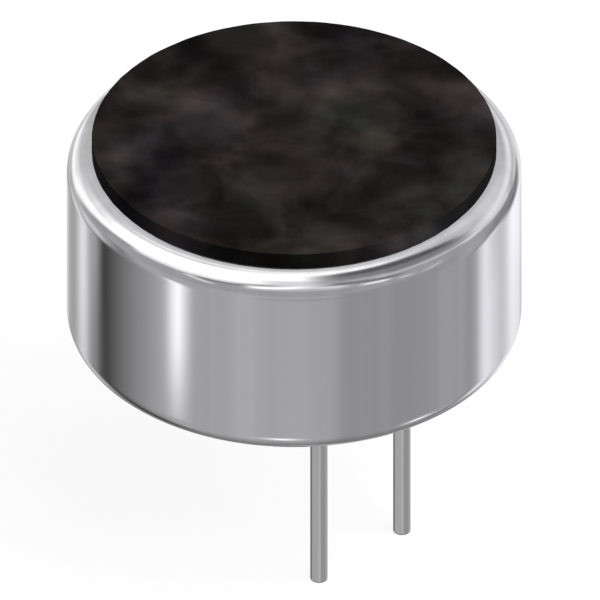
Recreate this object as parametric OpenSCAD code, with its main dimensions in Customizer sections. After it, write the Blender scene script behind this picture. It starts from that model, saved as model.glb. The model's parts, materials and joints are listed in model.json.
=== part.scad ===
// Electret microphone capsule with two leads, all sizes in millimetres.
// The origin is the centre of the seating plane, under the rolled rim. Z points up the can's axis.
// Pieces are stacked: the rim holds the board, and everything above it is pressed up to the can's top.

/* [Can] */
// Outside diameter of the drawn can
can_d = 9.7; // [9.4:0.1:12]
// Height of the can, from its seat to its flat top
can_h = 4.5; // [4.2:0.1:7]
// Thickness of the can's sheet
can_t = 0.3; // [0.2:0.05:0.35]
// Outside radius of the top shoulder and of the rolled bottom edge
can_fillet = 0.5; // [0.4:0.05:0.6]
// Width of the rolled rim, from the can's outside to its free edge
rim_w = 1.1; // [0.9:0.05:1.2]
// Rounding of the rim's free edge
rim_edge_r = 0.1; // [0.04:0.02:0.14]

/* [Sound holes] */
// Diameter of each sound hole in the can's top
sound_hole_d = 0.8; // [0.5:0.05:1]
// Radius of the circle that the outer sound holes stand on
sound_ring_r = 1.6; // [1.3:0.05:2]
// Sound holes around the middle one
sound_hole_count = 6; // [3:1:6]

/* [Felt] */
// Thickness of the felt disc
felt_t = 0.35; // [0.2:0.05:1]
// Flat metal left bare around the felt
felt_margin = 0.05; // [0:0.05:0.5]
// Thickness of the tape under the felt
adhesive_t = 0.05; // [0.03:0.01:0.1]
// How far the tape's edge stays inside the felt's edge
adhesive_inset = 0.05; // [0.02:0.01:0.2]
// Bare metal between the sound holes and the tape
adhesive_window = 0.6; // [0.2:0.05:1]

/* [Fits] */
// Clearance around each piece that drops into another
fit_gap = 0.05; // [0.02:0.01:0.1]
// How far the thin films stay inside the rings that clamp them
film_inset = 0.05; // [0.02:0.01:0.1]

/* [Diaphragm] */
// Height of the ring that carries the diaphragm
ring_h = 0.6; // [0.4:0.05:0.8]
// Width of the ring that carries the diaphragm
ring_w = 1; // [0.7:0.05:1.2]
// Thickness of the diaphragm
diaphragm_t = 0.0125; // [0.006:0.0005:0.025]
// Thickness of the spacer, which is the air gap
spacer_t = 0.04; // [0.025:0.005:0.08]
// Width of the spacer
spacer_w = 0.85; // [0.5:0.05:1]

/* [Backplate] */
// Thickness of the metal backplate
backplate_t = 0.3; // [0.2:0.05:0.5]
// Thickness of the charged film on the backplate
electret_t = 0.025; // [0.0125:0.0125:0.05]
// Diameter of each hole through the backplate
plate_hole_d = 0.7; // [0.4:0.05:1]
// Radius of the circle that the backplate's holes stand on
plate_ring_r = 2.4; // [1.8:0.05:2.6]
// Holes through the backplate
plate_hole_count = 6; // [4:1:8]
// Wall of the moulded holder below the backplate
holder_w = 0.6; // [0.5:0.05:0.8]
// Width of the holder's ledge under the backplate
ledge_w = 0.2; // [0.15:0.05:0.3]
// Wall of the ring between the backplate and the board
gate_ring_w = 0.35; // [0.2:0.05:0.5]

/* [Board] */
// Thickness of the bare board
board_t = 0.6; // [0.4:0.1:0.8]
// Thickness of the foil on each side
copper_t = 0.035; // [0.018:0.001:0.07]
// Bare board left outside the foil
copper_margin = 0.1; // [0.05:0.05:0.3]
// Foil that shows inside the rolled rim
ground_show = 0.3; // [0.1:0.05:0.4]
// Diameter of the pad under each lead
pad_d = 1.4; // [1.2:0.05:1.6]
// Bare board between the output pad and the ground foil
pad_gap = 0.2; // [0.1:0.05:0.3]
// Width of the foil between the ground pad and the ground ring
spoke_w = 0.7; // [0.4:0.05:1]
// Width of the fine foil tracks
track_w = 0.3; // [0.2:0.05:0.4]
// Diameter of the filled holes through the board
via_d = 0.4; // [0.3:0.05:0.5]
// Foil around each filled hole
via_land = 0.25; // [0.2:0.05:0.3]
// Distance from each lead to the filled hole beside it
via_step = 1; // [0.8:0.05:1.05]
// Foil that shows inside the ring on the board's top
gate_show = 0.15; // [0.05:0.05:0.25]

/* [Leads] */
// Diameter of each lead
pin_d = 0.37; // [0.3:0.01:0.6]
// Distance between the leads
pin_pitch = 2.5; // [2:0.05:2.8]
// Distance from the can's axis to the line of the leads
pin_offset = 2; // [1.6:0.05:2.2]
// Length of each lead below the seat
pin_reach = 5; // [2:0.1:12]
// Diameter of the flat head that is soldered to the pad
pin_head_d = 0.72; // [0.6:0.02:0.8]
// Thickness of that head
pin_head_t = 0.06; // [0.04:0.01:0.08]
// Pad left bare around the solder
solder_margin = 0.05; // [0.02:0.01:0.1]
// Height of the solder along the lead
solder_h = 0.28; // [0.2:0.01:0.3]
// Height of the steep foot of the solder, which covers the head
solder_foot_h = 0.13; // [0.1:0.01:0.16]
// Radius of the solder where its foot meets its slim neck
solder_waist_r = 0.37; // [0.33:0.01:0.45]
// Thickness of the solder where it ends on the lead
solder_skin = 0.02; // [0.01:0.005:0.04]

/* [Transistor] */
// Distance from the can's axis to the middle of the package
jfet_offset = 0.9; // [0.7:0.05:1.1]
// Length of the package along its row of two leads
jfet_l = 2.9; // [2.8:0.05:3]
// Width of the package between its two rows
jfet_w = 1.3; // [1.2:0.05:1.4]
// Height of the package
jfet_h = 0.95; // [0.85:0.05:1]
// Space under the package
jfet_standoff = 0.05; // [0.02:0.01:0.1]
// Height of the leads' exit above the package's underside
jfet_exit = 0.43; // [0.35:0.01:0.5]
// Slope of the package's sides, as a width
jfet_draft = 0.08; // [0.02:0.02:0.12]
// Distance over the tips of the leads
jfet_span = 2.4; // [2.2:0.05:2.5]
// Distance between the two leads of one row
jfet_pitch = 1.9; // [1.8:0.05:2]
// Width of each lead
jfet_lead_w = 0.4; // [0.3:0.05:0.5]
// Thickness of each lead
jfet_lead_t = 0.12; // [0.08:0.01:0.18]
// Length of each foot on its pad
jfet_foot = 0.3; // [0.25:0.05:0.4]
// Straight part of each lead outside the package
jfet_shoulder = 0.1; // [0.05:0.01:0.12]
// Part of each lead inside the package
jfet_root = 0.25; // [0.15:0.05:0.4]
// Bare pad left around each foot
jfet_pad_margin = 0.1; // [0.05:0.01:0.15]

/* [Hidden] */

// Facets of large and of small rounds
round_fn = 72;
small_fn = 40;
fillet_fn = 32;
// Overlap that lets a cut pass right through
cut = 0.1;
full_turn = 360;
half_turn = 180;
quarter_turn = 90;

// Radii, from the outside in
can_r = can_d / 2;
flat_r = can_r - can_fillet;
felt_r = flat_r - felt_margin;
inner_r = can_r - can_t;
draw_r = can_fillet - can_t;
rim_r = can_r - rim_w;
stack_r = inner_r - fit_gap;
film_r = stack_r - film_inset;
holder_in_r = stack_r - holder_w;
recess_r = holder_in_r + ledge_w;
plate_r = recess_r - fit_gap;
gate_out_r = holder_in_r - fit_gap;
gate_in_r = gate_out_r - gate_ring_w;
land_in_r = gate_in_r - gate_show;
ground_in_r = rim_r - ground_show;
ground_out_r = stack_r - copper_margin;
window_r = sound_ring_r + sound_hole_d / 2 + adhesive_window;

// Heights of the stack, from the rim up and from the can's top down
board_z = can_t + copper_t;
board_top_z = board_z + board_t;
foil_top_z = board_top_z + copper_t;
ceiling_z = can_h - can_t;
ring_z = ceiling_z - ring_h;
diaphragm_z = ring_z - diaphragm_t;
spacer_z = diaphragm_z - spacer_t;
electret_z = spacer_z - electret_t;
plate_z = electret_z - backplate_t;

// Leads and their solder, seen from the pad downwards
pin_r = pin_d / 2;
pin_y = pin_pitch / 2;
via_x = pin_offset - via_step;
via_land_r = via_d / 2 + via_land;
solder_foot_r = pad_d / 2 - solder_margin;

// Transistor
jfet_z = foil_top_z + jfet_standoff;
lead_z = jfet_z + jfet_exit;
lead_drop = lead_z - foil_top_z;
toe_x = jfet_span / 2;
knee_x = toe_x - jfet_foot;
bend_x = jfet_w / 2 + jfet_shoulder;
lead_run = knee_x - bend_x;
lead_set = jfet_lead_t * (norm([lead_run, lead_drop]) - lead_run) / lead_drop;
pad_in_x = knee_x - jfet_pad_margin;
pad_out_x = toe_x + jfet_lead_t + jfet_pad_margin;
pad_w = jfet_lead_w + 2 * jfet_pad_margin;

// Display colours
aluminium_grey = [0.80, 0.81, 0.83];
felt_black = [0.10, 0.10, 0.10];
tape_grey = [0.20, 0.20, 0.21];
brass_yellow = [0.78, 0.62, 0.30];
film_silver = [0.72, 0.74, 0.78];
spacer_amber = [0.85, 0.70, 0.42];
electret_blue = [0.62, 0.70, 0.80];
holder_black = [0.16, 0.16, 0.17];
board_green = [0.10, 0.34, 0.18];
copper_red = [0.80, 0.48, 0.28];
package_black = [0.13, 0.13, 0.14];
tin_grey = [0.70, 0.71, 0.72];
solder_grey = [0.76, 0.77, 0.78];

// A flat ring that stands on height z
module ring(outer_r, hole_r, z, h) {
    translate([0, 0, z])
        difference() {
            cylinder(r = outer_r, h = h, $fn = round_fn);
            translate([0, 0, -cut])
                cylinder(r = hole_r, h = h + 2 * cut, $fn = round_fn);
        }
}

// A row of round cutters on a circle
module hole_circle(count, circle_r, hole_d, z, h) {
    for (i = [0 : count - 1])
        rotate(i * full_turn / count)
            translate([circle_r, 0, z - cut])
                cylinder(d = hole_d, h = h + 2 * cut, $fn = small_fn);
}

// The can's outside: a square section with both outer corners rounded
module can_outline() {
    square([flat_r, can_h]);
    translate([0, can_fillet])
        square([can_r, can_h - 2 * can_fillet]);
    for (z = [can_fillet, can_h - can_fillet])
        translate([flat_r, z])
            circle(can_fillet, $fn = fillet_fn);
}

// The can's inside: the draw radius under the top, a square corner where the rim is rolled on the board
module can_cavity() {
    translate([0, can_t])
        square([inner_r, ceiling_z - can_t - draw_r]);
    translate([0, can_t])
        square([inner_r - draw_r, ceiling_z - can_t]);
    translate([inner_r - draw_r, ceiling_z - draw_r])
        circle(draw_r, $fn = fillet_fn);
    translate([0, -cut])
        square([rim_r, can_t + 2 * cut]);
    difference() {
        translate([0, -cut])
            square([rim_r + rim_edge_r, cut + rim_edge_r]);
        translate([rim_r + rim_edge_r, rim_edge_r])
            circle(rim_edge_r, $fn = fillet_fn);
    }
}

module can() {
    color(aluminium_grey)
        difference() {
            rotate_extrude($fn = round_fn)
                difference() {
                    can_outline();
                    can_cavity();
                }
            translate([0, 0, ceiling_z - cut])
                cylinder(d = sound_hole_d, h = can_t + 2 * cut, $fn = small_fn);
            hole_circle(sound_hole_count, sound_ring_r, sound_hole_d, ceiling_z, can_t);
        }
}

module felt_cover() {
    color(felt_black)
        translate([0, 0, can_h + adhesive_t])
            cylinder(r = felt_r, h = felt_t, $fn = round_fn);
}

module felt_adhesive() {
    color(tape_grey)
        ring(felt_r - adhesive_inset, window_r, can_h, adhesive_t);
}

// The ring's upper outer edge is cut back, clear of the can's draw radius
module diaphragm_ring() {
    color(brass_yellow)
        rotate_extrude($fn = round_fn)
            polygon([
                [stack_r - ring_w, ring_z],
                [stack_r, ring_z],
                [stack_r, ceiling_z - draw_r],
                [stack_r - draw_r, ceiling_z],
                [stack_r - ring_w, ceiling_z]
            ]);
}

module diaphragm() {
    color(film_silver)
        translate([0, 0, diaphragm_z])
            cylinder(r = film_r, h = diaphragm_t, $fn = round_fn);
}

module spacer() {
    color(spacer_amber)
        ring(film_r, film_r - spacer_w, spacer_z, spacer_t);
}

// A round plate with the backplate's holes
module pierced_plate(z, h) {
    difference() {
        translate([0, 0, z])
            cylinder(r = plate_r, h = h, $fn = round_fn);
        hole_circle(plate_hole_count, plate_ring_r, plate_hole_d, z, h);
    }
}

module electret_film() {
    color(electret_blue)
        pierced_plate(electret_z, electret_t);
}

module backplate() {
    color(brass_yellow)
        pierced_plate(plate_z, backplate_t);
}

module backplate_holder() {
    color(holder_black)
        rotate_extrude($fn = round_fn)
            polygon([
                [holder_in_r, board_top_z],
                [stack_r, board_top_z],
                [stack_r, spacer_z],
                [recess_r, spacer_z],
                [recess_r, plate_z],
                [holder_in_r, plate_z]
            ]);
}

module gate_ring() {
    color(brass_yellow)
        ring(gate_out_r, gate_in_r, foil_top_z, plate_z - foil_top_z);
}

module circuit_board() {
    color(board_green)
        translate([0, 0, board_z])
            difference() {
                cylinder(r = stack_r, h = board_t, $fn = round_fn);
                for (side = [-1, 1])
                    translate([via_x, side * pin_y, -cut])
                        cylinder(d = via_d, h = board_t + 2 * cut, $fn = small_fn);
            }
}

// A straight foil track between two points
module track(from, to, width) {
    step = to - from;
    translate(from)
        rotate(atan2(step[1], step[0]))
            translate([0, -width / 2])
                square([norm(step), width]);
}

module gate_land() {
    color(copper_red)
        translate([0, 0, board_top_z])
            linear_extrude(copper_t) {
                difference() {
                    circle(gate_out_r, $fn = round_fn);
                    circle(land_in_r, $fn = round_fn);
                }
                track([-jfet_offset - toe_x, 0], [-gate_in_r, 0], track_w);
                translate([-jfet_offset - pad_out_x, -pad_w / 2])
                    square([pad_out_x - pad_in_x, pad_w]);
            }
}

// Foil from one lead of the transistor's row of two to the filled hole beside its pin
module row_trace(side) {
    color(copper_red)
        translate([0, 0, board_top_z])
            linear_extrude(copper_t) {
                translate([pad_in_x - jfet_offset, side * jfet_pitch / 2 - pad_w / 2])
                    square([pad_out_x - pad_in_x, pad_w]);
                track(
                    [toe_x - jfet_offset, side * jfet_pitch / 2],
                    [via_x, side * pin_y],
                    track_w
                );
                translate([via_x, side * pin_y])
                    circle(via_land_r, $fn = small_fn);
            }
}

module drain_trace() {
    row_trace(-1);
}

module source_trace() {
    row_trace(1);
}

// Foil under one lead: its round pad, run together with the land of the filled hole
module lead_pad(side) {
    translate([pin_offset, side * pin_y])
        circle(d = pad_d, $fn = small_fn);
    translate([via_x, side * pin_y])
        circle(via_land_r, $fn = small_fn);
}

module ground_copper() {
    color(copper_red)
        translate([0, 0, can_t])
            linear_extrude(copper_t) {
                difference() {
                    circle(ground_out_r, $fn = round_fn);
                    circle(ground_in_r, $fn = round_fn);
                    translate([pin_offset, -pin_y])
                        circle(pad_d / 2 + pad_gap, $fn = small_fn);
                }
                lead_pad(1);
                rotate(atan2(pin_y, pin_offset))
                    translate([norm([pin_offset, pin_y]), -spoke_w / 2])
                        square([rim_r - norm([pin_offset, pin_y]), spoke_w]);
            }
}

module output_pad() {
    color(copper_red)
        translate([0, 0, can_t])
            linear_extrude(copper_t)
                lead_pad(-1);
}

module via(side) {
    color(copper_red)
        translate([via_x, side * pin_y, board_z])
            cylinder(d = via_d, h = board_t, $fn = small_fn);
}

module output_via() {
    via(-1);
}

module ground_via() {
    via(1);
}

// Section of the package across one of its widths: sloped sides that meet a band as high as a lead
module package_section(half_w) {
    polygon([
        [-half_w + jfet_draft, jfet_z],
        [half_w - jfet_draft, jfet_z],
        [half_w, lead_z],
        [half_w, lead_z + jfet_lead_t],
        [half_w - jfet_draft, jfet_z + jfet_h],
        [-half_w + jfet_draft, jfet_z + jfet_h],
        [-half_w, lead_z + jfet_lead_t],
        [-half_w, lead_z]
    ]);
}

// Side view of one lead: root, shoulder, slope and foot, all of one thickness
module lead_section() {
    polygon([
        [jfet_w / 2 - jfet_root, lead_z],
        [bend_x, lead_z],
        [knee_x, foil_top_z],
        [toe_x, foil_top_z],
        [toe_x, foil_top_z + jfet_lead_t],
        [knee_x + lead_set, foil_top_z + jfet_lead_t],
        [bend_x + lead_set, lead_z + jfet_lead_t],
        [jfet_w / 2 - jfet_root, lead_z + jfet_lead_t]
    ]);
}

// Carries a side view to one of the transistor's leads: turned about the package, then moved along the row
module at_lead(turn, along) {
    translate([-jfet_offset, along, 0])
        rotate(turn)
            rotate([quarter_turn, 0, 0])
                linear_extrude(jfet_lead_w, center = true)
                    children();
}

// Solder in the corner between a lead's tip and its pad
module toe_section() {
    difference() {
        translate([toe_x, foil_top_z])
            square(jfet_lead_t);
        translate([toe_x + jfet_lead_t, foil_top_z + jfet_lead_t])
            circle(jfet_lead_t, $fn = fillet_fn);
    }
}

module jfet_package() {
    color(package_black)
        difference() {
            translate([-jfet_offset, 0, 0])
                intersection() {
                    rotate([quarter_turn, 0, 0])
                        linear_extrude(jfet_l, center = true)
                            package_section(jfet_w / 2);
                    rotate([quarter_turn, 0, quarter_turn])
                        linear_extrude(jfet_w, center = true)
                            package_section(jfet_l / 2);
                }
            at_lead(half_turn, 0)
                lead_section();
            for (side = [-1, 1])
                at_lead(0, side * jfet_pitch / 2)
                    lead_section();
        }
}

module jfet_gate_lead() {
    color(tin_grey)
        at_lead(half_turn, 0)
            lead_section();
}

module jfet_drain_lead() {
    color(tin_grey)
        at_lead(0, -jfet_pitch / 2)
            lead_section();
}

module jfet_source_lead() {
    color(tin_grey)
        at_lead(0, jfet_pitch / 2)
            lead_section();
}

module jfet_gate_solder() {
    color(solder_grey)
        at_lead(half_turn, 0)
            toe_section();
}

module jfet_drain_solder() {
    color(solder_grey)
        at_lead(0, -jfet_pitch / 2)
            toe_section();
}

module jfet_source_solder() {
    color(solder_grey)
        at_lead(0, jfet_pitch / 2)
            toe_section();
}

// A headed wire: the flat head lies on the pad
module pin_wire() {
    translate([0, 0, -pin_reach])
        cylinder(r = pin_r, h = pin_reach + can_t, $fn = small_fn);
    translate([0, 0, can_t - pin_head_t])
        cylinder(d = pin_head_d, h = pin_head_t, $fn = small_fn);
}

module output_pin() {
    color(tin_grey)
        translate([pin_offset, -pin_y, 0])
            pin_wire();
}

module ground_pin() {
    color(tin_grey)
        translate([pin_offset, pin_y, 0])
            pin_wire();
}

// Section of the solder: a steep foot over the lead's head, then a slim neck on the lead
module solder_section() {
    polygon([
        [0, can_t],
        [solder_foot_r, can_t],
        [solder_waist_r, can_t - solder_foot_h],
        [pin_r + solder_skin, can_t - solder_h],
        [0, can_t - solder_h]
    ]);
}

module solder_joint() {
    difference() {
        rotate_extrude($fn = small_fn)
            solder_section();
        pin_wire();
    }
}

module output_solder() {
    color(solder_grey)
        translate([pin_offset, -pin_y, 0])
            solder_joint();
}

module ground_solder() {
    color(solder_grey)
        translate([pin_offset, pin_y, 0])
            solder_joint();
}

can();
felt_cover();
felt_adhesive();
diaphragm_ring();
diaphragm();
spacer();
electret_film();
backplate();
backplate_holder();
gate_ring();
circuit_board();
gate_land();
drain_trace();
source_trace();
ground_copper();
output_pad();
output_via();
ground_via();
jfet_package();
jfet_gate_lead();
jfet_drain_lead();
jfet_source_lead();
jfet_gate_solder();
jfet_drain_solder();
jfet_source_solder();
output_pin();
ground_pin();
output_solder();
ground_solder();
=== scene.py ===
# %% [markdown]
# # A microphone capsule, dressed for its picture
# The capsule is a drawn aluminium cup with a black felt disc on its top, a rim rolled over a small
# circuit board underneath, and two straight leads. The solid model already fixes every place and size,
# so this lesson only makes the skins that show and the finishes on them. Everything is in metres.

# %% Load the frame
import json

import bpy
import numpy as np
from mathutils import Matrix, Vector


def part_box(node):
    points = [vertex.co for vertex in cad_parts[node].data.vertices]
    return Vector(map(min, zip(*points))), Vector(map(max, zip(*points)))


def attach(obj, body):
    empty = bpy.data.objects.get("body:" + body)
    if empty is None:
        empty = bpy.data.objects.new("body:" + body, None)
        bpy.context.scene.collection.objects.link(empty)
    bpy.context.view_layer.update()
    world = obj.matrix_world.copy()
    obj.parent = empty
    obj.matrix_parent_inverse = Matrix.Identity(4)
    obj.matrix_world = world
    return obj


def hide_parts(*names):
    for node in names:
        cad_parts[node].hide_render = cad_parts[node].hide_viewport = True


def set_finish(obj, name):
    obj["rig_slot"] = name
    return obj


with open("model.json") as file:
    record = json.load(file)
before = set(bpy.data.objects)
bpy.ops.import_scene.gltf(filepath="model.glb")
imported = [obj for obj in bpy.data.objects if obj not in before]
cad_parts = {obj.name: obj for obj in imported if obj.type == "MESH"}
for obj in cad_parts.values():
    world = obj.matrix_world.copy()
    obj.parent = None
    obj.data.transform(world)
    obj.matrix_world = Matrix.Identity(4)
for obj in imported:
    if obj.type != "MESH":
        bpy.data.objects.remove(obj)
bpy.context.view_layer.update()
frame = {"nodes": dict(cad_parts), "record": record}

# %% [markdown]
# ## Measures
# Sizes are easier to read in millimetres, so shapes are worked out in millimetres and turned into metres
# only when a mesh is made. Outside sizes come from the solid model's own boxes. The few that a box
# can't tell, such as a radius, are named here once.

# %% Sizes in millimetres
MM = 0.001


def corners(node):
    """Lowest and highest corner of one solid, in millimetres."""
    low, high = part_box(node)
    return np.array(low) / MM, np.array(high) / MM


CAN_R, CAN_H = corners("can")[1][0], corners("can")[1][2]
SHEET_T = 0.3
EDGE_R = 0.5
RIM_W = 1.1
RIM_EDGE_R = 0.1
HOLE_R = 0.4
HOLE_CIRCLE_R = 1.6
HOLE_COUNT = 6
LEAD_R = 0.185
HEAD_R = 0.36
HEAD_T = 0.06
FLOOR_Z = corners("output_pin")[0][2]
print("can radius", round(CAN_R, 3), "height", round(CAN_H, 3), "floor", round(FLOOR_Z, 3))

# %% [markdown]
# ## Camera
# The view is parallel, from a corner of the room that sees all three axes alike: 45 degrees round and
# about 35 degrees up. A parallel camera keeps the can's sides exactly upright, so its width alone
# sets the scale: the frame is a little under 13 mm wide.

# %% A parallel camera
VIEW_AZIMUTH, VIEW_ELEVATION = np.radians(45), np.arctan(np.sqrt(0.5))
FRAME_W = 12.796
AIM_RIGHT, AIM_UP = 0.126, 0.533
CAMERA_FAR = 60


def camera_axes():
    """Right, up and back of the camera: back is (sin a cos e, -cos a cos e, sin e), right is level."""
    a, e = VIEW_AZIMUTH, VIEW_ELEVATION
    back = np.array((np.sin(a) * np.cos(e), -np.cos(a) * np.cos(e), np.sin(e)))
    right = np.array((np.cos(a), np.sin(a), 0))
    return right, np.cross(back, right), back


right, up, back = camera_axes()
lens = bpy.data.cameras.new("parallel_view")
lens.type = "ORTHO"
lens.ortho_scale = FRAME_W * MM
lens.clip_start, lens.clip_end = 0.001, 1
camera = bpy.data.objects.new("camera", lens)
camera.location = (right * AIM_RIGHT + up * AIM_UP + back * CAMERA_FAR) * MM
camera.rotation_euler = Vector(-back).to_track_quat("-Z", "Y").to_euler()
bpy.context.scene.collection.objects.link(camera)
bpy.context.scene.camera = camera
print("camera looks along", np.round(-back, 3))

# %% [markdown]
# ## Helpers for turned shapes
# Nearly everything here is round, as lathe work is. A round shape is one section carried round an axis,
# so a section is a list of (radius, height) points and the surface is a grid: one row for each point of
# the section, one column for each step round. Blender's Spin would do it too, but a grid of numbers
# gives clean quads, exact places and faces that point outwards by their order.


# %% Sections and the surfaces of revolution made from them
def arc(centre, radius, start, end, count=20):
    """Points of a circle: the centre plus radius times (cos, sin) of equal steps of angle, in degrees."""
    a = np.radians(np.linspace(start, end, count))
    return np.column_stack((centre[0] + radius * np.cos(a), centre[1] + radius * np.sin(a)))


def run(start, end, count=2):
    """Equal steps on a straight line."""
    return np.linspace(start, end, count)


def section(*parts):
    """Parts put end to end, with each point that repeats the one before it left out."""
    points = np.concatenate(parts)
    step = np.linalg.norm(np.diff(points, axis=0), axis=1)
    return points[np.concatenate(([True], step > 1e-6))]


def revolve(points, count, centre=(0, 0)):
    """Grid of a section carried round: x = cx + r cos a, y = cy + r sin a, z stays."""
    a = np.linspace(0, 2 * np.pi, count, endpoint=False)
    r, z = points[:, :1], points[:, 1:]
    return np.stack((centre[0] + r * np.cos(a), centre[1] + r * np.sin(a), z + 0 * a), axis=-1)


# %% [markdown]
# ## From a grid to a mesh
# Four neighbours of the grid make one quad. Each row closes on itself. A section that is a closed loop,
# such as the can's sheet, also joins its last row to its first, so the skin is a closed shell with
# no pole. A section that ends near the axis gets one flat face at each end instead.

# %% Skin a grid
SHARP = 35


def skin(name, grid, loop=False, caps=False, sharp=SHARP):
    """Quads (i, j), (i, j+1), (i+1, j+1), (i+1, j), closed round. Bends over sharp degrees stay crisp."""
    rows, count, _ = grid.shape
    i = np.arange(rows if loop else rows - 1)[:, None]
    j = np.arange(count)[None, :]
    after, beside = (i + 1) % rows * count, (j + 1) % count
    quads = np.stack((i * count + j, i * count + beside, after + beside, after + j), axis=-1)
    faces = quads.reshape(-1, 4).tolist()
    if caps:
        faces += [list(range(count))[::-1], list(range((rows - 1) * count, rows * count))]
    mesh = bpy.data.meshes.new(name)
    mesh.from_pydata((grid.reshape(-1, 3) * MM).tolist(), [], faces)
    mesh.shade_smooth()
    mesh.set_sharp_from_angle(angle=np.radians(sharp))
    return mesh


def place(name, mesh):
    """Object at the origin, unturned: its place is in its mesh."""
    made = bpy.data.objects.new(name, mesh)
    bpy.context.scene.collection.objects.link(made)
    return made


def stand_for(name, mesh, node, slot):
    """A piece that rides on the part's one body and shows instead of a solid."""
    made = place(name, mesh)
    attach(made, "root")
    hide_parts(node)
    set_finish(made, slot)
    print(name, "stands for", node, "with", len(mesh.polygons), "faces")
    return made


# %% [markdown]
# ## The can
# One sheet of aluminium is drawn into a cup, filled from below, and its edge is rolled in over the board.
# So the can is one section: up the outside, over the shoulder, in to the middle hole, back under the
# top, down the inside, and round the rolled rim. Polished metal shows every facet, so the section has
# fine steps on its radii. Two extra rows close to each radius keep the straight wall's shading straight.

# %% The can's sheet as one section
GUARD = 0.03
ROUND_STEPS = 320


def can_section():
    """Closed loop of the can's sheet, counterclockwise in (radius, height)."""
    flat_r, inner_r, rim_r = CAN_R - EDGE_R, CAN_R - SHEET_T, CAN_R - RIM_W
    low, high, ceiling = EDGE_R, CAN_H - EDGE_R, CAN_H - SHEET_T
    return section(
        run((rim_r + RIM_EDGE_R, 0), (flat_r, 0), 4),
        arc((flat_r, low), EDGE_R, -90, 0, 24),
        run((CAN_R, low + GUARD), (CAN_R, high - GUARD), 8),
        arc((flat_r, high), EDGE_R, 0, 90, 28),
        run((flat_r - GUARD, CAN_H), (HOLE_R, CAN_H), 8),
        run((HOLE_R, CAN_H), (HOLE_R, ceiling)),
        run((HOLE_R, ceiling), (flat_r, ceiling), 8),
        arc((flat_r, high), EDGE_R - SHEET_T, 90, 0, 10),
        run((inner_r, high), (inner_r, SHEET_T), 6),
        run((inner_r, SHEET_T), (rim_r, SHEET_T), 4),
        arc((rim_r + RIM_EDGE_R, RIM_EDGE_R), RIM_EDGE_R, 180, 270, 10)[:-1],
    )


sheet = skin("can_shell", revolve(can_section(), ROUND_STEPS), loop=True)
can = stand_for("can_shell", sheet, "can", "can_metal")

# %% [markdown]
# ## The sound holes
# Six more holes stand round the middle one, under the felt. They don't follow the lathe, so they are
# cut the way a punch cuts them: one cutter of six posts, and a Boolean that is applied at once so that
# the finished piece carries no modifier.

# %% Punch the ring of holes
POST_STEPS = 48


def punch():
    """Six upright posts on a circle, as one mesh."""
    post = section(run((HOLE_R, CAN_H - 2 * SHEET_T), (HOLE_R, CAN_H + SHEET_T)))
    turns = 2 * np.pi * np.arange(HOLE_COUNT) / HOLE_COUNT
    posts = [
        skin("post", revolve(post, POST_STEPS, HOLE_CIRCLE_R * np.array((np.cos(t), np.sin(t)))), caps=True)
        for t in turns
    ]
    parts = [place("post", mesh) for mesh in posts]
    with bpy.context.temp_override(active_object=parts[0], selected_editable_objects=parts):
        bpy.ops.object.join()
    return parts[0]


cutter = punch()
cut = can.modifiers.new("sound_holes", "BOOLEAN")
cut.operation, cut.solver, cut.object = "DIFFERENCE", "EXACT", cutter
punched = bpy.data.meshes.new_from_object(can.evaluated_get(bpy.context.evaluated_depsgraph_get()))
can.modifiers.clear()
can.data = punched
bpy.data.objects.remove(cutter)
punched.shade_smooth()
punched.set_sharp_from_angle(angle=np.radians(SHARP))
print("can after punching", len(punched.polygons), "faces")

# %% [markdown]
# ## The felt
# A disc die-cut from pressed felt keeps dust and breath off the holes. It is thin and glued down flat,
# so there is nothing for a cloth simulation to settle: what makes it felt is a cut edge that is a touch
# soft and a face that isn't quite even. Both are sums of a few waves with a fixed seed. The highest wave
# just reaches the solid's top. The die pushes the edge out and down by a few hundredths, round the tape
# that holds the felt. The felt is kept out of mirrors, or the bright shoulder round it would show a
# black ring where light from behind should run up to the felt.


# %% The felt pad
def waves(x, y, size, count, seed):
    """Sum of plane waves about one size long in random directions, scaled to lie between -1 and 1."""
    rng = np.random.default_rng(seed)
    turn, phase = rng.uniform(0, 2 * np.pi, (2, count))
    k = 2 * np.pi / (size * rng.uniform(0.7, 1.5, count))
    total = np.sin(x[..., None] * k * np.cos(turn) + y[..., None] * k * np.sin(turn) + phase).sum(-1)
    return total / np.abs(total).max()


FELT_STEPS, FELT_SOFT, FELT_WAVE = 288, 0.02, 0.006
FELT_PROUD, FELT_HANG, FELT_LIP = 0.016, 0.025, 0.06
FELT_CORE_R, FELT_SLANT, FELT_SHARP = 0.03, 3, 75
SIDE_WAVES = {"size": 0.35, "count": 24, "seed": 5}
FACE_WAVES = {"size": 0.7, "count": 40, "seed": 6}


def felt_grid():
    """Section of a disc with soft edges, carried round, then its face and its side moved by waves."""
    low, high = corners("felt_cover")
    r, z0, z1 = high[0] + FELT_PROUD, low[2], high[2] - FELT_WAVE
    edge = z0 - FELT_HANG
    disc = section(
        run((FELT_CORE_R, z0), (r - FELT_LIP, z0), 4),
        arc((r - FELT_SOFT, edge + FELT_SOFT), FELT_SOFT, -90, 0, 6),
        run((r, edge + FELT_SOFT), (r, z1 - FELT_SOFT), 8),
        arc((r - FELT_SOFT, z1 - FELT_SOFT), FELT_SOFT, 0, 90, 8),
        run((r - FELT_SOFT, z1), (FELT_CORE_R, z1), 90),
    )
    grid = revolve(disc, FELT_STEPS)
    x, y, z = np.moveaxis(grid, -1, 0)
    rise = np.clip((z - z0) / (z1 - z0), 0, 1)
    grow = 1 + FELT_WAVE / r * waves(x + FELT_SLANT * z, y - FELT_SLANT * z, **SIDE_WAVES)
    lift = FELT_WAVE * rise * waves(x, y, **FACE_WAVES)
    return np.stack((x * grow, y * grow, z + lift), axis=-1)


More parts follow.
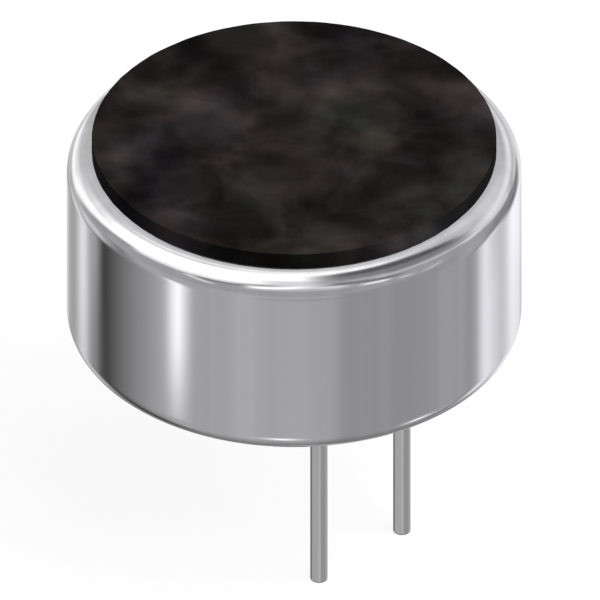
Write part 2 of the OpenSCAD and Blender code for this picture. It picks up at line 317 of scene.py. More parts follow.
disc_skin = skin("felt_pad", felt_grid(), caps=True, sharp=FELT_SHARP)
felt = stand_for("felt_pad", disc_skin, "felt_cover", "felt")
felt.visible_glossy = False

# %% [markdown]
# ## The leads
# Each lead is a length of tinned wire with a flat head, like a nail, soldered to its pad by the head. The
# shear that cuts the wire leaves a flat end with a slightly rounded edge, and that tiny round is what
# catches the light at the tip.

# %% Two headed wires
TIP_R = 0.03
LEAD_CORE_R = LEAD_R / 4
LEAD_STEPS = 72


def lead_section(bottom, top):
    """Flat tip, rounded edge, straight shank, then the flat head."""
    return section(
        run((LEAD_CORE_R, bottom), (LEAD_R - TIP_R, bottom), 4),
        arc((LEAD_R - TIP_R, bottom + TIP_R), TIP_R, -90, 0, 8),
        run((LEAD_R, bottom + 2 * TIP_R), (LEAD_R, top - HEAD_T - TIP_R), 10),
        run((LEAD_R, top - HEAD_T), (HEAD_R, top - HEAD_T), 3),
        run((HEAD_R, top - HEAD_T), (HEAD_R, top), 3),
        run((HEAD_R, top), (LEAD_CORE_R, top), 4),
    )


def middle(node):
    """Centre of a solid seen from above, in millimetres."""
    low, high = corners(node)
    return (low + high)[:2] / 2


leads = []
for net in ("output", "ground"):
    low, high = corners(net + "_pin")
    grid = revolve(lead_section(low[2], high[2]), LEAD_STEPS, middle(net + "_pin"))
    mesh = skin(net + "_lead", grid, caps=True)
    leads.append(stand_for(net + "_lead", mesh, net + "_pin", "tinned_wire"))

# %% [markdown]
# ## The solder joints
# Molten solder wets both the pad and the wire, so it leaves the pad almost flat and climbs the wire in a
# hollow curve. The height of that curve goes with the square of the distance in from the pad's edge.
# A slow wobble round the foot keeps the two joints from looking turned on a lathe.

# %% Two hollow cones of solder
JOINT_STEPS, WET_GAP, JOINT_LIP = 96, 0.0006, 0.006
FOOT_DRAW, FOOT_WAVE, FOOT_WAVES = 0.025, 1.6, 6


def joint_grid(node, seed):
    """Loop of the joint's section, carried round, with its foot drawn in here and there."""
    low, high = corners(node)
    foot, tip, wire = (high - low)[0] / 2, low[2], LEAD_R + WET_GAP
    r = np.linspace(wire + JOINT_LIP, foot, 40)
    curve = np.column_stack((r, high[2] - (high[2] - tip) * ((foot - r) / (foot - r[0])) ** 2))
    loop = section(
        curve,
        run((HEAD_R + WET_GAP, high[2]), (HEAD_R + WET_GAP, high[2] - HEAD_T - WET_GAP), 3),
        run((wire, high[2] - HEAD_T - WET_GAP), (wire, tip), 6),
    )
    grid = revolve(loop, JOINT_STEPS)
    a = np.arctan2(grid[..., 1], grid[..., 0])
    reach = np.clip((np.hypot(grid[..., 0], grid[..., 1]) - HEAD_R) / (foot - HEAD_R), 0, 1)
    draw = 1 - FOOT_DRAW * reach * (1 + waves(np.cos(a), np.sin(a), FOOT_WAVE, FOOT_WAVES, seed))
    grid[..., :2] *= draw[..., None]
    grid[..., :2] += middle(node)
    return grid


joints = []
for net, seed in (("output", 11), ("ground", 12)):
    mesh = skin(net + "_joint", joint_grid(net + "_solder", seed), loop=True)
    joints.append(stand_for(net + "_joint", mesh, net + "_solder", "solder"))

# %% [markdown]
# ## Helpers for finishes
# A finish is a small graph of nodes that ends in one shader. Real surfaces are never one flat tone, so
# each has a tone that drifts, a roughness that varies and a relief at its own scale. Constants stay on
# the shader's sockets. Only what changes over the surface comes through nodes.


# %% Nodes and groups
def add(tree, kind, inputs=None, **settings):
    """One node: settings are its properties, inputs are values or the sockets that feed it."""
    made = tree.nodes.new("ShaderNode" + kind)
    for key, value in settings.items():
        setattr(made, key, value)
    for key, value in (inputs or {}).items():
        if isinstance(value, bpy.types.NodeSocket):
            tree.links.new(value, made.inputs[key])
        else:
            made.inputs[key].default_value = value
    return made


def group(name, inputs, outputs):
    """An empty node group with named sockets. A triple makes a vector socket, a number a plain one."""
    tree = bpy.data.node_groups.new(name, "ShaderNodeTree")
    for label, value in inputs.items():
        kind = "NodeSocketVector" if isinstance(value, tuple) else "NodeSocketFloat"
        tree.interface.new_socket(label, in_out="INPUT", socket_type=kind).default_value = value
    for label in outputs:
        tree.interface.new_socket(label, in_out="OUTPUT", socket_type="NodeSocketFloat")
    return tree, tree.nodes.new("NodeGroupInput").outputs, tree.nodes.new("NodeGroupOutput").inputs


def effect(tree, shared, **values):
    """A shared group placed in one material with that material's values."""
    made = add(tree, "Group", node_tree=shared)
    for key, value in values.items():
        made.inputs[key].default_value = value
    return made.outputs


# %% What a finish varies
def between(tree, amount, low, high):
    """Number between two values, as the amount goes over the middle of its range, where noise lies."""
    ends = {"From Min": 0.3, "From Max": 0.7, "To Min": low, "To Max": high}
    return add(tree, "MapRange", {"Value": amount, **ends}).outputs[0]


def tone(tree, amount, dark, light):
    """Colour between two tones, by the same rule."""
    share = between(tree, amount, 0.0, 1.0)
    return add(tree, "Mix", {0: share, 6: (*dark, 1), 7: (*light, 1)}, data_type="RGBA").outputs[2]


def finish(name, **constants):
    """New material with the shader's constant sockets set. Returns it and its tree."""
    made = bpy.data.materials.new(name)
    made.use_nodes = True
    for key, value in constants.items():
        made.node_tree.nodes["Principled BSDF"].inputs[key.replace("_", " ")].default_value = value
    return made, made.node_tree


def surface(tree, colour, roughness, height, depth):
    """Feeds the shader its colour, its roughness, and a relief of this depth in metres."""
    shader = tree.nodes["Principled BSDF"].inputs
    bump = add(tree, "Bump", {"Height": height, "Distance": depth})
    tree.links.new(colour, shader["Base Color"])
    tree.links.new(roughness, shader["Roughness"])
    tree.links.new(bump.outputs[0], shader["Normal"])


print("finish helpers ready")

# %% [markdown]
# ## Effects that several finishes share
# Drawn metal and stretched film both have fine lines that run away from the axis. Wire and foil have
# straight lines from the die or the rolls. Turned brass has rings. Clouds are for anything that
# settles unevenly. Each is built once as a group, from Object coordinates, and has its own scale inputs.


# %% Lines that run away from the axis
def position(tree):
    """The place on the piece, which is also the place in the part's frame."""
    return add(tree, "TexCoord").outputs["Object"]


def rays_group():
    """Noise over (x, y) / r times Across, and z times Along, so that each line keeps its direction."""
    tree, given, result = group("rays", {"Across": 60.0, "Along": 100.0}, ("Lines", "Drift"))
    spot = position(tree)
    level = add(tree, "VectorMath", {0: spot, 1: (1, 1, 0)}, operation="MULTIPLY").outputs[0]
    ray = add(tree, "VectorMath", {0: level}, operation="NORMALIZE").outputs[0]
    across = add(tree, "VectorMath", {0: ray, "Scale": given["Across"]}, operation="SCALE").outputs[0]
    rise = add(tree, "VectorMath", {0: spot, 1: (0, 0, 1)}, operation="MULTIPLY").outputs[0]
    along = add(tree, "VectorMath", {0: rise, "Scale": given["Along"]}, operation="SCALE").outputs[0]
    where = add(tree, "VectorMath", {0: across, 1: along}, operation="ADD").outputs[0]
    fine = add(tree, "TexNoise", {"Vector": where, "Scale": 1.0, "Detail": 4.0})
    broad = add(tree, "TexNoise", {"Vector": where, "Scale": 0.15, "Detail": 2.0})
    tree.links.new(fine.outputs[0], result["Lines"])
    tree.links.new(broad.outputs[0], result["Drift"])
    return tree


RAYS = rays_group()
print("group", RAYS.name, "made")


# %% Straight lines, rings and clouds
def grain_group():
    """Noise over the place times a stretch of its own for each axis: a small stretch makes long lines."""
    tree, given, result = group("grain", {"Stretch": (1e4, 1e4, 1e4)}, ("Lines", "Drift"))
    place_times = {0: position(tree), 1: given["Stretch"]}
    where = add(tree, "VectorMath", place_times, operation="MULTIPLY").outputs[0]
    for label, scale, detail in (("Lines", 1.0, 4.0), ("Drift", 0.2, 2.0)):
        noise = add(tree, "TexNoise", {"Vector": where, "Scale": scale, "Detail": detail})
        tree.links.new(noise.outputs[0], result[label])
    return tree


def rings_group():
    """Noise over radius plus height, so that a lathe's lines run round flats and walls alike."""
    tree, given, result = group("rings", {"Pitch": 2e4}, ("Lines", "Drift"))
    spot = position(tree)
    level = add(tree, "VectorMath", {0: spot, 1: (1, 1, 0)}, operation="MULTIPLY").outputs[0]
    radius = add(tree, "VectorMath", {0: level}, operation="LENGTH").outputs["Value"]
    height = add(tree, "SeparateXYZ", {0: spot}).outputs["Z"]
    path = add(tree, "Math", {0: radius, 1: height}, operation="ADD").outputs[0]
    turn = add(tree, "Math", {0: path, 1: given["Pitch"]}, operation="MULTIPLY").outputs[0]
    for label, scale, detail in (("Lines", 1.0, 3.0), ("Drift", 0.1, 1.0)):
        noise = add(tree, "TexNoise", {"W": turn, "Scale": scale, "Detail": detail}, noise_dimensions="1D")
        tree.links.new(noise.outputs[0], result[label])
    return tree


def clouds_group():
    """Soft noise of one scale, and a fine one nine times smaller. Rough sets how strong its detail is."""
    tree, given, result = group("clouds", {"Scale": 1e3, "Rough": 0.5, "Twist": 0.0}, ("Cloud", "Fine"))
    small = add(tree, "Math", {0: given["Scale"], 1: 9.0}, operation="MULTIPLY").outputs[0]
    shape = {"Vector": position(tree), "Roughness": given["Rough"], "Distortion": given["Twist"]}
    for label, scale in (("Cloud", given["Scale"]), ("Fine", small)):
        noise = add(tree, "TexNoise", {**shape, "Scale": scale, "Detail": 4.0})
        tree.links.new(noise.outputs[0], result[label])
    return tree


GRAIN, RINGS, CLOUDS = grain_group(), rings_group(), clouds_group()
print("groups", GRAIN.name, RINGS.name, CLOUDS.name, "made")

# %% [markdown]
# ## The can's metal
# Drawn aluminium that was tumbled bright: nearly a mirror, with faint lines the way the punch pulled the
# sheet, upright on the wall and outward on the shoulder. The lines mostly change the gloss, and their
# relief is a few hundredths of a micrometre, or the mirrored bands would break up.

# %% Bright drawn aluminium
FINISHES = {}
FINISHES["can_metal"], tree = finish("can_metal", Metallic=1.0)
lines = effect(tree, RAYS, Across=70.0, Along=120.0)
surface(
    tree,
    tone(tree, lines["Drift"], (0.585, 0.585, 0.602), (0.655, 0.655, 0.672)),
    between(tree, lines["Lines"], 0.07, 0.13),
    lines["Lines"],
    2e-8,
)
print("can metal made")

# %% [markdown]
# ## The felt's finish
# Pressed black felt is a mat of curled dark fibres. Close up it is a brown-black with drifts towards
# green and violet, because the dye takes unevenly. Soft clouds about a millimetre across give the drift,
# twisted fine noise gives the fibres, and a weak sheen catches light. The cut edge is painted darker:
# that is painted shade on the felt's side.

# %% Pressed black felt
FELT_R = corners("felt_cover")[1][0]
FELT_POWER, FELT_LIGHT = 2.8, 8.8
# Painted shade on the felt's side: between these radii its colour falls to this share.
SIDE_SHADE_FROM, SIDE_SHADE_TO, SIDE_PAINTED_SHADE = FELT_R - 0.004, FELT_R + 0.01, 0.25
FINISHES["felt"], tree = finish(
    "felt",
    Specular_IOR_Level=0.02,
    Sheen_Weight=0.015,
    Sheen_Roughness=0.4,
    Sheen_Tint=(0.7, 0.75, 1.0, 1.0),
)
drift = effect(tree, CLOUDS, Scale=640.0, Rough=0.5, Twist=0.4)
fibre = effect(tree, CLOUDS, Scale=2600.0, Twist=1.8)
hue = add(tree, "ValToRGB", {"Fac": effect(tree, CLOUDS, Scale=380.0)["Cloud"]})
for share, dye in (
    (0.37, (0.0150, 0.0150, 0.0136)),
    (0.45, (0.0174, 0.0147, 0.0122)),
    (0.53, (0.0188, 0.0142, 0.0137)),
    (0.63, (0.0166, 0.0143, 0.0158)),
):
    hue.color_ramp.elements.new(share).color = (*dye, 1)
for end in (0, -1):
    hue.color_ramp.elements.remove(hue.color_ramp.elements[end])
# Painted shade: by radius, the felt's side is drawn darker than its top.
radius = add(tree, "VectorMath", {0: position(tree), 1: (1, 1, 0)}, operation="MULTIPLY").outputs[0]
radius = add(tree, "VectorMath", {0: radius}, operation="LENGTH").outputs["Value"]
ends = {"From Min": SIDE_SHADE_FROM * MM, "From Max": SIDE_SHADE_TO * MM, "To Min": 1.0, "To Max": SIDE_PAINTED_SHADE}
cut = add(tree, "MapRange", {"Value": radius, **ends}).outputs[0]
lift = add(tree, "Math", {0: drift["Cloud"], 1: FELT_POWER}, operation="POWER").outputs[0]
shade = add(tree, "Math", {0: lift, 1: FELT_LIGHT}, operation="MULTIPLY").outputs[0]
for factor in (between(tree, fibre["Fine"], 0.9, 1.1), cut):
    shade = add(tree, "Math", {0: shade, 1: factor}, operation="MULTIPLY").outputs[0]
coat = add(tree, "VectorMath", {0: hue.outputs["Color"], "Scale": shade}, operation="SCALE").outputs[0]
surface(tree, coat, between(tree, fibre["Cloud"], 0.85, 1.0), fibre["Fine"], 1.5e-5)
print("felt made")

# %% [markdown]
# ## Tinned wire and solder
# The leads were drawn through a die and dipped in tin, so they have long fine lines under a soft gloss. The
# solder froze in place: smooth, with a faint frost of crystals.

# %% Tin and solder
FINISHES["tinned_wire"], tree = finish("tinned_wire", Metallic=1.0)
lines = effect(tree, GRAIN, Stretch=(2.4e4, 2.4e4, 500.0))
surface(
    tree,
    tone(tree, lines["Drift"], (0.56, 0.56, 0.565), (0.65, 0.65, 0.65)),
    between(tree, lines["Lines"], 0.12, 0.2),
    lines["Lines"],
    1e-7,
)
FINISHES["solder"], tree = finish("solder", Metallic=1.0)
frost = effect(tree, CLOUDS, Scale=4000.0)
surface(
    tree,
    tone(tree, frost["Cloud"], (0.62, 0.63, 0.64), (0.74, 0.745, 0.75)),
    between(tree, frost["Fine"], 0.14, 0.3),
    frost["Fine"],
    4e-7,
)
print("tin and solder made")

# %% [markdown]
# ## The board and its foil
# The board is glass cloth in resin under green resist. The cloth shows through as a faint check of
# two crossed waves, a quarter of a millimetre apart. The foil was rolled, so it has lines one way, and
# its copper has dulled in patches.

# %% Green board, copper foil
CLOTH = 4000.0 * 2 * np.pi
FINISHES["board"], tree = finish("board", Coat_Weight=0.4, Coat_Roughness=0.12)
spot = add(tree, "SeparateXYZ", {0: position(tree)}).outputs
ribs = []
for axis in ("X", "Y"):
    phase = add(tree, "Math", {0: spot[axis], 1: CLOTH}, operation="MULTIPLY").outputs[0]
    ribs.append(add(tree, "Math", {0: phase}, operation="SINE").outputs[0])
check = add(tree, "Math", {0: ribs[0], 1: ribs[1]}, operation="MULTIPLY").outputs[0]
stain = effect(tree, CLOUDS, Scale=700.0)
weave = add(tree, "MapRange", {"Value": check, "From Min": -1.0, "To Min": 0.35, "To Max": 0.65}).outputs[0]
blend = add(tree, "Mix", {0: 0.5, 2: weave, 3: stain["Cloud"]}).outputs[0]
surface(
    tree,
    tone(tree, blend, (0.018, 0.13, 0.052), (0.05, 0.30, 0.135)),
    between(tree, stain["Fine"], 0.28, 0.4),
    weave,
    1.2e-6,
)
FINISHES["copper"], tree = finish("copper", Metallic=1.0)
lines = effect(tree, GRAIN, Stretch=(700.0, 2.2e4, 2.2e4))
stain = effect(tree, CLOUDS, Scale=1300.0)
surface(
    tree,
    tone(tree, stain["Cloud"], (0.66, 0.36, 0.21), (0.86, 0.53, 0.34)),
    between(tree, lines["Lines"], 0.22, 0.4),
    lines["Lines"],
    2e-7,
)
print("board and foil made")

# %% [markdown]
# ## The pieces inside
# Nobody sees these until the capsule is opened, but each has its own make. The brass rings and the
# backplate are turned and stamped, the film is stretched, the spacer and the charged film are slit
# from rolls, and the holder and the transistor's body are moulded.

# %% Turned brass and films
FINISHES["brass"], tree = finish("brass", Metallic=1.0)
lathe = effect(tree, RINGS, Pitch=2.5e4)
surface(
    tree,
    tone(tree, lathe["Drift"], (0.62, 0.44, 0.19), (0.78, 0.58, 0.28)),
    between(tree, lathe["Lines"], 0.18, 0.34),
    lathe["Lines"],
    3e-7,
)
FINISHES["diaphragm_film"], tree = finish("diaphragm_film", Metallic=1.0)
pull = effect(tree, RAYS, Across=24.0, Along=10.0)
surface(
    tree,
    tone(tree, pull["Drift"], (0.66, 0.68, 0.72), (0.76, 0.78, 0.82)),
    between(tree, pull["Lines"], 0.08, 0.16),
    pull["Lines"],
    1e-7,
)
for name, dark, light in (
    ("spacer_film", (0.62, 0.42, 0.16), (0.78, 0.58, 0.28)),
    ("electret", (0.60, 0.66, 0.74), (0.74, 0.79, 0.85)),
):
    FINISHES[name], tree = finish(name, Coat_Weight=0.3)
    slit = effect(tree, GRAIN, Stretch=(600.0, 9e3, 9e3))
    colour, gloss = tone(tree, slit["Drift"], dark, light), between(tree, slit["Lines"], 0.16, 0.3)
    surface(tree, colour, gloss, slit["Lines"], 2e-7)
print("brass and films made")

# %% Mouldings and tape
for name, dark, light, scale, depth in (
    ("holder_plastic", (0.030, 0.030, 0.034), (0.055, 0.055, 0.060), 5000.0, 1.5e-6),
    ("package", (0.022, 0.022, 0.024), (0.048, 0.048, 0.050), 7000.0, 3e-6),
    ("tape", (0.018, 0.018, 0.019), (0.040, 0.040, 0.041), 3000.0, 2e-6),
):
    FINISHES[name], tree = finish(name)
    speck = effect(tree, CLOUDS, Scale=scale)
    colour, gloss = tone(tree, speck["Cloud"], dark, light), between(tree, speck["Fine"], 0.45, 0.7)
    surface(tree, colour, gloss, speck["Fine"], depth)
print("mouldings and tape made")

# %% [markdown]
# ## Dressing
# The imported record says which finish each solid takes, and each new piece says its own, so one short
# loop dresses everything, inside and out.


# %% Put the finishes on
def dress(made, material):
    """The piece's only material."""
    made.data.materials.clear()
    made.data.materials.append(material)


slots = {row["node"]: row["material_slot"] for row in frame["record"]["subparts"]}
for name, solid in frame["nodes"].items():
    dress(solid, FINISHES[slots[name]])
for made in (can, felt, *leads, *joints):
    dress(made, FINISHES[made["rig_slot"]])
print("dressed", len(slots), "solids with", len(FINISHES), "finishes")

# %% [markdown]
# ## Floor and light
# The floor is pale and plain. To the camera, and to anything that mirrors it, it glows up to white, and
# a share of plain shading keeps the part's soft shadow. Seen from below it is clear, so that the
# underside can be looked at. One large soft lamp and an even grey sky light everything at a level where
# a colour looks as it is written.


# %% A pale floor and an even sky
def seen(tree):
    """1 for rays from the camera, from a mirror or through glass, otherwise 0."""
    path = add(tree, "LightPath").outputs
    sight = path["Is Camera Ray"]
    for kind in ("Is Glossy Ray", "Is Transmission Ray"):
        sight = add(tree, "Math", {0: sight, 1: path[kind]}, operation="MAXIMUM").outputs[0]
    return sight


FLOOR_HALF, FLOOR_DROP = 400, 0.004
FLOOR_PALE, FLOOR_SHADE, FLOOR_GLOW = 0.6, 0.18, 0.9
SKY_LIGHT = 0.32


def floor_mesh():
    """Four corners just under the leads' tips."""
    x, y = FLOOR_HALF * np.array((-1, 1, 1, -1)), FLOOR_HALF * np.array((-1, -1, 1, 1))
    mesh = bpy.data.meshes.new("floor")
    points = np.column_stack((x, y, 0 * x + FLOOR_Z - FLOOR_DROP)) * MM
    mesh.from_pydata(points.tolist(), [], [(0, 1, 2, 3)])
    return mesh


floor_finish = bpy.data.materials.new("pale_floor")
floor_finish.use_nodes = True
tree = floor_finish.node_tree
tree.nodes.remove(tree.nodes["Principled BSDF"])
look = seen(tree)
pale = tone(tree, look, (FLOOR_PALE,) * 3, (FLOOR_SHADE,) * 3)
glow = add(tree, "Math", {0: look, 1: FLOOR_GLOW}, operation="MULTIPLY").outputs[0]
matt = add(tree, "BsdfDiffuse", {"Color": pale}).outputs[0]
lit = add(tree, "AddShader", {0: matt, 1: add(tree, "Emission", {"Strength": glow}).outputs[0]})
under = add(tree, "NewGeometry").outputs["Backfacing"]
clear = add(tree, "MixShader", {0: under, 1: lit.outputs[0], 2: add(tree, "BsdfTransparent").outputs[0]})
tree.links.new(clear.outputs[0], tree.nodes["Material Output"].inputs["Surface"])
floor = place("floor", floor_mesh())
dress(floor, floor_finish)

world = bpy.data.worlds.new("even_sky")
bpy.context.scene.world = world
world.use_nodes = True
tree = world.node_tree
sky = add(tree, "Background", {"Color": (SKY_LIGHT,) * 3 + (1,)}).outputs[0]
white = add(tree, "Background", {"Color": (1, 1, 1, 1)}).outputs[0]
both = add(tree, "MixShader", {0: seen(tree), 1: sky, 2: white}).outputs[0]
tree.links.new(both, tree.nodes["World Output"].inputs["Surface"])
print("floor at", round(FLOOR_Z - FLOOR_DROP, 3), "mm")

# %% [markdown]
# ## Three lamps
# A square lamp stands high on the camera's right. A lamp gives its power over its area, so the power is
# worked out from how bright the lamp should look. Two more, tiny, cool and close, graze the felt's cut
# edge from the right and the left, where it would be lost against the felt's top. All three stay out of
# mirrors, because the cards of the next step are what the metal should show.


# %% A large soft lamp and two small ones
def toward(azimuth, elevation):
    """Direction from the part, in degrees round from the camera (right is positive) and up."""
    a, e = np.radians(azimuth), np.radians(elevation)
    ahead = back * (1, 1, 0) / np.linalg.norm(back[:2])
    level = np.multiply.outer(np.cos(e) * np.cos(a), ahead) + np.multiply.outer(np.cos(e) * np.sin(a), right)
    return level + np.multiply.outer(np.sin(e), (0, 0, 1))


def lamp(name, side, look, spot, way, colour=(1, 1, 1)):
    """Square lamp at a spot, facing against a direction: power is look times pi times area."""
    made = bpy.data.lights.new(name, "AREA")
    made.size, made.color = side * MM, colour
    made.energy = look * np.pi * (side * MM) ** 2
    held = bpy.data.objects.new(name, made)
    held.location = spot * MM
    held.rotation_euler = Vector(way).to_track_quat("Z", "Y").to_euler()
    held.visible_glossy = False
    bpy.context.scene.collection.objects.link(held)
    print(name, "power", round(1000 * made.energy, 3), "mW")


SOFT_SIDE, SOFT_LOOK, SOFT_FAR, SOFT_WAY = 70, 3.5, 80, toward(60, 54)
EDGE_SIDE, EDGE_FAR, EDGE_COOL = 1, 1.4, (0.84, 0.86, 1.0)
lamp("soft_lamp", SOFT_SIDE, SOFT_LOOK, SOFT_WAY * SOFT_FAR, SOFT_WAY)
felt_low, felt_high = corners("felt_cover")
felt_middle = (0, 0, (felt_low[2] + felt_high[2]) / 2)
for name, azimuth, look in (("edge_lamp", 35, 38), ("left_lamp", -34, 12)):
    way = toward(azimuth, 0)
    lamp(name, EDGE_SIDE, look, way * (felt_high[0] + EDGE_FAR) + felt_middle, way, EDGE_COOL)

# %% [markdown]
# ## Cards for the metal
# A polished can is a picture of what stands round it. Studios lay grey card on the table and set soft
# boxes and black flags where the metal will mirror them. Here they are painted on open sheets: each
# point of a sheet has its own brightness. Only mirrors see these sheets, and only from their front, so
# they light nothing and throw no shadow.


# %% Helpers for cards
def smooth(x, low, high):
    """0 below low, 1 above high, and an S-shaped rise between them."""
    t = np.clip((x - low) / (high - low), 0, 1)
    return t * t * (3 - 2 * t)


def hump(x, centre, width):
    """Bell curve: 1 at the centre, about a third one width away from it."""
    return np.exp(-(((x - centre) / width) ** 2))


card_finish = bpy.data.materials.new("card")
card_finish.use_nodes = True
card_finish.cycles.emission_sampling = "NONE"
tree = card_finish.node_tree
tree.nodes.remove(tree.nodes["Principled BSDF"])
shine = add(tree, "Emission", {"Color": add(tree, "Attribute", attribute_name="glow").outputs["Color"]})
rear = add(tree, "NewGeometry").outputs["Backfacing"]
clear = add(tree, "MixShader", {0: rear, 1: shine.outputs[0], 2: add(tree, "BsdfTransparent").outputs[0]})
tree.links.new(clear.outputs[0], tree.nodes["Material Output"].inputs["Surface"])


def card(name, grid, glow):
    """Open sheet over a grid, with the brightness of each point, that only mirrors see."""
    rows, count, _ = grid.shape
    i, j = np.arange(rows - 1)[:, None] * count, np.arange(count - 1)[None, :]
    quads = np.stack((i + j, i + j + count, i + j + count + 1, i + j + 1), axis=-1).reshape(-1, 4)
    mesh = bpy.data.meshes.new(name)
    mesh.from_pydata((grid.reshape(-1, 3) * MM).tolist(), [], quads.tolist())
    paint = np.concatenate((glow, np.ones_like(glow[..., :1])), axis=-1).astype(np.float32)
    mesh.attributes.new("glow", "FLOAT_COLOR", "POINT").data.foreach_set("color", paint.ravel())
    made = place(name, mesh)
    dress(made, card_finish)
    made.visible_camera = made.visible_diffuse = made.visible_shadow = made.visible_transmission = False
    print(name, "card with", len(quads), "faces")


# %% [markdown]
# ## The dome
# The shoulder turns from level to upright within half a millimetre, so it mirrors everything above the
# table. A dome holds that: bright ceiling and key box on the left, a black flag on the right, walls behind,
# and a few slits and spots in front that draw thin lines along the shoulder. Each is a strip between two
# directions, with its half-width and soft edge in degrees and its brightness. Later ones lie on top.

# %% Strips on the dome
DOME_R, DOME_LOW, DOME_GREY = 200, -6, 0.5
STRIPS = (
    ("back wall", (-150, 42), (150, 42), 10, 10, 0.9),
    ("left wall", (-150, 20), (-150, 40), 14, 10, 0.76),
    ("right wall", (118, 33), (150, 46), 9, 8, 0.92),
    ("left haze", (-112, 50), (-130, 41), 11, 10, 1.27),
    ("left veil", (-125, 27), (-146, 9), 8, 7, 1.15),
    ("ceiling", (172, 66), (-130, 82), 9, 8, 1.7),
    ("ceiling foot", (178, 57), (-161, 54), 5, 5, 1.4),
    ("key box", (-76, 66), (-85, 60.5), 29, 7, 1.9),
    ("key lip", (-84, 30), (-38, 40), 5, 4, 1.3),
    ("key foot", (-97, 39.5), (-125, 14), 9, 6, 1.62),
    ("left box", (-130, 5), (-152, -1), 7, 6, 1.52),
    ("fill box", (113, 25), (156, 19), 9, 8, 1.15),
    ("right foot", (138, 3), (160, -2), 6, 6, 0.9),
    ("grey flag", (98, 62), (90, 64), 21, 6, 0.31),
    ("black flag", (110, 72), (117, 58), 9.5, 6, 0.14),
    ("wall end", (119, 45), (140, 55), 5, 4, 0.76),
    ("front haze", (-6, 68), (4, 50), 8, 6, 1.05),
    ("front box", (-18, 36), (2, 43), 5, 4, 1.8),
    ("front end", (8, 40), (22, 36), 4.5, 4, 1.1),
    ("light slit", (36, 54), (52, 51), 3, 2.5, 0.65),
    ("dark slit", (26, 47), (50, 31), 4, 3, 0.25),
    ("low slit", (48, 44), (94, 25), 3, 2.5, 0.8),
    ("low end", (98, 23), (124, 11), 5, 4, 1.0),
    ("front line", (-22, 27), (25, 28), 2.5, 2.5, 0.8),
    ("right spot", (37, 27), (43, 24), 3, 3, 1.6),
    ("low spot", (53, 15), (55, 13), 2.5, 2.5, 1.0),
    ("side spot", (66, 7), (70, 10), 3, 3, 0.75),
    ("left slit", (-30, 37), (-46, 33), 3.5, 3.5, 0.28),
    ("left spot", (-52, 26), (-42, 20), 2.5, 2.5, 1.2),
    ("left flag", (-90, 26), (-106, 10), 4, 4, 0.45),
    ("side flag", (112, 0), (126, -3), 5, 4, 0.34),
)


def off_strip(way, start, end):
    """Degrees between each direction and the nearest one on the straight line from start to end."""
    p, q = toward(*start), toward(*end)
    t = np.clip((way - p) @ (q - p) / ((q - p) @ (q - p)), 0, 1)
    near = p + t[..., None] * (q - p)
    cosine = (way * near).sum(axis=-1) / np.linalg.norm(near, axis=-1)
    return np.degrees(np.arccos(np.clip(cosine, -1, 1)))


def dome():
    """Part of a sphere round the part. Each strip covers what lies within its half-width."""
    azimuth, elevation = np.meshgrid(np.linspace(-180, 180, 361), np.linspace(DOME_LOW, 90, 145))
    way = toward(azimuth, elevation)
    level = np.full(azimuth.shape, DOME_GREY)
    for _, start, end, half, soft, bright in STRIPS:
        cover = 1 - smooth(off_strip(way, start, end), half - soft, half + soft)
        level += (bright - level) * cover
    card("dome", way * DOME_R, level[..., None] * np.ones(3))


dome()

# %% [markdown]
# ## The card on the table
# Seen from above, an upright wall mirrors the table. A point of a round wall that faces an angle f away
# from the camera mirrors the table in the direction 2f, further out the higher it is. So the card is
# laid out on those very lines, and a strip of it between two angles shows as one upright band. From left to
# right there are a light strip, a black flag that fades in, a bright box, plain grey, and two light strips.
# What lies further out than about 13 mm shows only in the shoulder. In the functions below, f is in degrees
# and s in millimetres. A smooth step is an edge between two places, and a hump is a soft strip at a place.

# %% Strips of light and dark on the table
SWEEP_LIFT, SWEEP_TURN, SWEEP_FAR = 0.03, 89, 260
LILAC = np.array((0.99, 0.985, 1.022))


def laid(f, s, radius, centre=(0, 0)):
    """Place on the table: from the foot of the wall at angle f, the way s out in the direction 2f."""
    grid = radius * toward(f, 0 * f) + s[..., None] * toward(2 * f, 0 * f)
    grid[..., :2] += centre
    grid[..., 2] = FLOOR_Z + SWEEP_LIFT
    return grid


def left_glow(f, s):
    """The share of grey that is kept on the left, and the light that is added to it."""
    # A black flag, softer near the can, that fades in to the right and ends soonest at its left edge.
    soft, edge, far = 1 - smooth(s, 8.5, 12.5), smooth(-f, 50, 56), smooth(s, 15, 25)
    flag = smooth(f, -62.5 - 3.3 * soft, -56 + 1.3 * soft) * (1 - np.clip((f + 57.5) / 23, 0, 1))
    flag *= 1 - smooth(s, 15 - 2 * edge, 25 - 7 * edge)
    share = 1 - 0.955 * flag - 0.45 * far * hump(f, -45.5, 4.5)
    # A light strip left of the flag, and another at the can's very edge.
    strip = 0.62 * (1 - smooth(s, 14, 30)) * hump(f, -68.3, 3.8) * (0.75 + 0.25 * smooth(s, 8, 11))
    strip += 0.35 * (1 - smooth(s, 18, 60)) * smooth(-f, 79, 86)
    # A haze behind them and a glow far out, both for the shoulder.
    haze = 0.3 * far * (1 - smooth(s, 35, 70)) * smooth(-f, 50, 55) * (1 - 0.6 * hump(f, -69, 4))
    haze += 0.75 * smooth(s, 36, 100) * smooth(-f, 59, 67)
    # A bright box right of the flag.
    box = 0.97 * smooth(s, 6.2, 11.5) * (1 - smooth(s, 14, 24)) * hump(f, -30.9, 2.8)
    return share, strip + haze + box


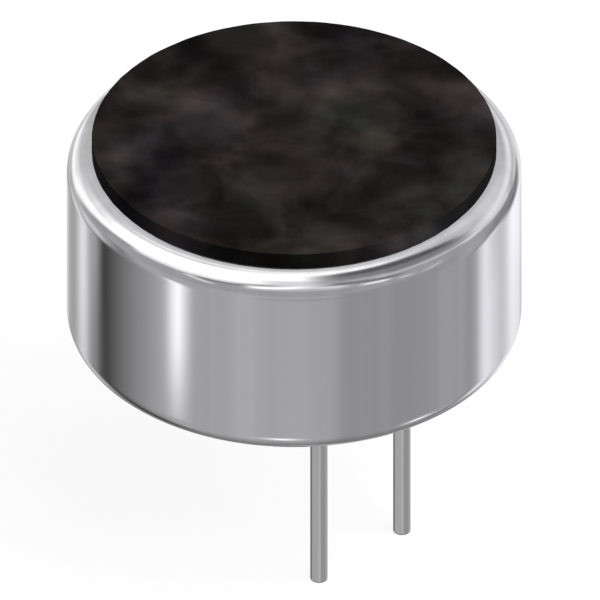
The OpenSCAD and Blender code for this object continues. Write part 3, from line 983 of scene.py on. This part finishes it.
def right_glow(f, s):
    """The light that is added on the right: two strips with a dip between them, then dark at the edge."""
    inner = 0.43 * smooth(f, 52.5, 57) + 0.25 * hump(f, 58, 3) - 0.1 * hump(f, 50.5, 2.2)
    inner -= 0.12 * smooth(s, 10.5, 12.7) * hump(f, 61.5, 3)
    high = smooth(s, 8.5, 12.5) - 0.8 * smooth(s, 13.5, 22)
    outer = (0.16 + 0.16 * high) * smooth(f, 67, 74)
    outer -= 0.12 * smooth(f, 74, 79) + 0.4 * smooth(f, 79, 87)
    inner_end = smooth(s, 14, 28) * (1 - smooth(f, 70, 76))
    dip = 0.17 * hump(f, 66, 3.2) * (1 - smooth(s, 25, 50)) + 0.18 * smooth(f, 50, 56) * inner_end
    return inner * (1 - inner_end) + outer * (1 - smooth(s, 28, 55)) - dip


def sweep_glow(f, s):
    """Brightness by angle and distance: plain grey, the two sides, then the foot and its two glints."""
    level = 0.57 - 0.145 * smooth(f, 5, 17) + 0.1 * smooth(f, 34, 47) - 0.12 * smooth(-f, 60, 63)
    share, light = left_glow(f, s)
    level += 0.03 * hump(f, -13, 6) - 0.12 * hump(s, 27, 8) * hump(f, 3, 9)
    level = level * share + light + right_glow(f, s)
    # Painted shade: the table is drawn darker close to the can's foot, deeper and wider at the sides.
    side = smooth(np.abs(f), 42, 55)
    level *= 1 - (0.3 + 0.3 * side) * (1 - smooth(s, 0.8 + 1.2 * side, 3.2 + 2 * side))
    return level + 1.3 * hump(f, -3.5, 4.5) * hump(s, 4.3, 0.8) + 1.2 * hump(f, 37, 4) * hump(s, 4.2, 0.8)


def sweep():
    """The card round the can, with a lilac tint on the right."""
    f, s = np.meshgrid(np.linspace(-SWEEP_TURN, SWEEP_TURN, 713), np.geomspace(0.02, SWEEP_FAR, 72))
    tint = 1 + (LILAC - 1) * smooth(f, 35, 60)[..., None]
    card("sweep", laid(f, s, CAN_R), sweep_glow(f, s)[..., None] * tint)


sweep()

# %% [markdown]
# ## Under the can, and round the leads
# A darker card lies under the can and behind it, darkest under the can, where it is painted shade. Each lead
# also gets a card of its own, laid out in the same way and then bent up into a small tub, so that its bands
# run from the tip to the top. The tub stops short of the can, or the rim's flat underside would mirror it.

# %% The heart of the table and two tubs
HEART_R, HEART_SHADE_GREY, BEHIND_GREY = 60, 0.28, 0.45
TUB_R, TUB_H, TUB_BEND, FLAT_ROWS, WALL_ROWS = 1.1, 3.5, 0.2, 8, 6


def heart():
    """A disc a little lower than the other cards, darker under the can than around it: painted shade."""
    r, a = np.meshgrid(np.geomspace(0.01, HEART_R, 40), np.linspace(0, 2 * np.pi, 97), indexing="ij")
    grid = np.stack((r * np.cos(a), r * np.sin(a), 0 * r + FLOOR_Z + SWEEP_LIFT / 2), axis=-1)
    level = HEART_SHADE_GREY + (BEHIND_GREY - HEART_SHADE_GREY) * smooth(r, CAN_R, 2 * CAN_R)
    card("heart", grid, level[..., None] * np.ones(3))


def tub_glow(f):
    """A dark edge on the left, a light line in the middle and a darker band on the right."""
    level = 0.56 - 0.42 * smooth(-f, 47, 66) + 0.12 * hump(f, 3, 8)
    return level - 0.12 * smooth(f, 10, 14) * (1 - smooth(f, 44, 54))


def tub(node):
    """The table card round one lead up to the tub's radius, then straight up, well short of the rim."""
    s = np.concatenate((np.linspace(0.01, TUB_R, FLAT_ROWS), np.full(WALL_ROWS, TUB_R)))
    rise = np.concatenate((np.zeros(FLAT_ROWS), np.linspace(TUB_BEND, TUB_H, WALL_ROWS)))
    f, s = np.meshgrid(np.linspace(-90, 90, 181), s)
    grid = laid(f, s, LEAD_R, middle(node))
    grid[..., 2] += rise[:, None]
    card(node + "_tub", grid, tub_glow(f)[..., None] * np.ones(3))


heart()
for net in ("output", "ground"):
    tub(net + "_pin")

# %% [markdown]
# ## Last setting
# The picture is shown as it is computed, with no film curve.

# %% Show the picture as it is computed
bpy.context.scene.view_settings.view_transform = "Standard"
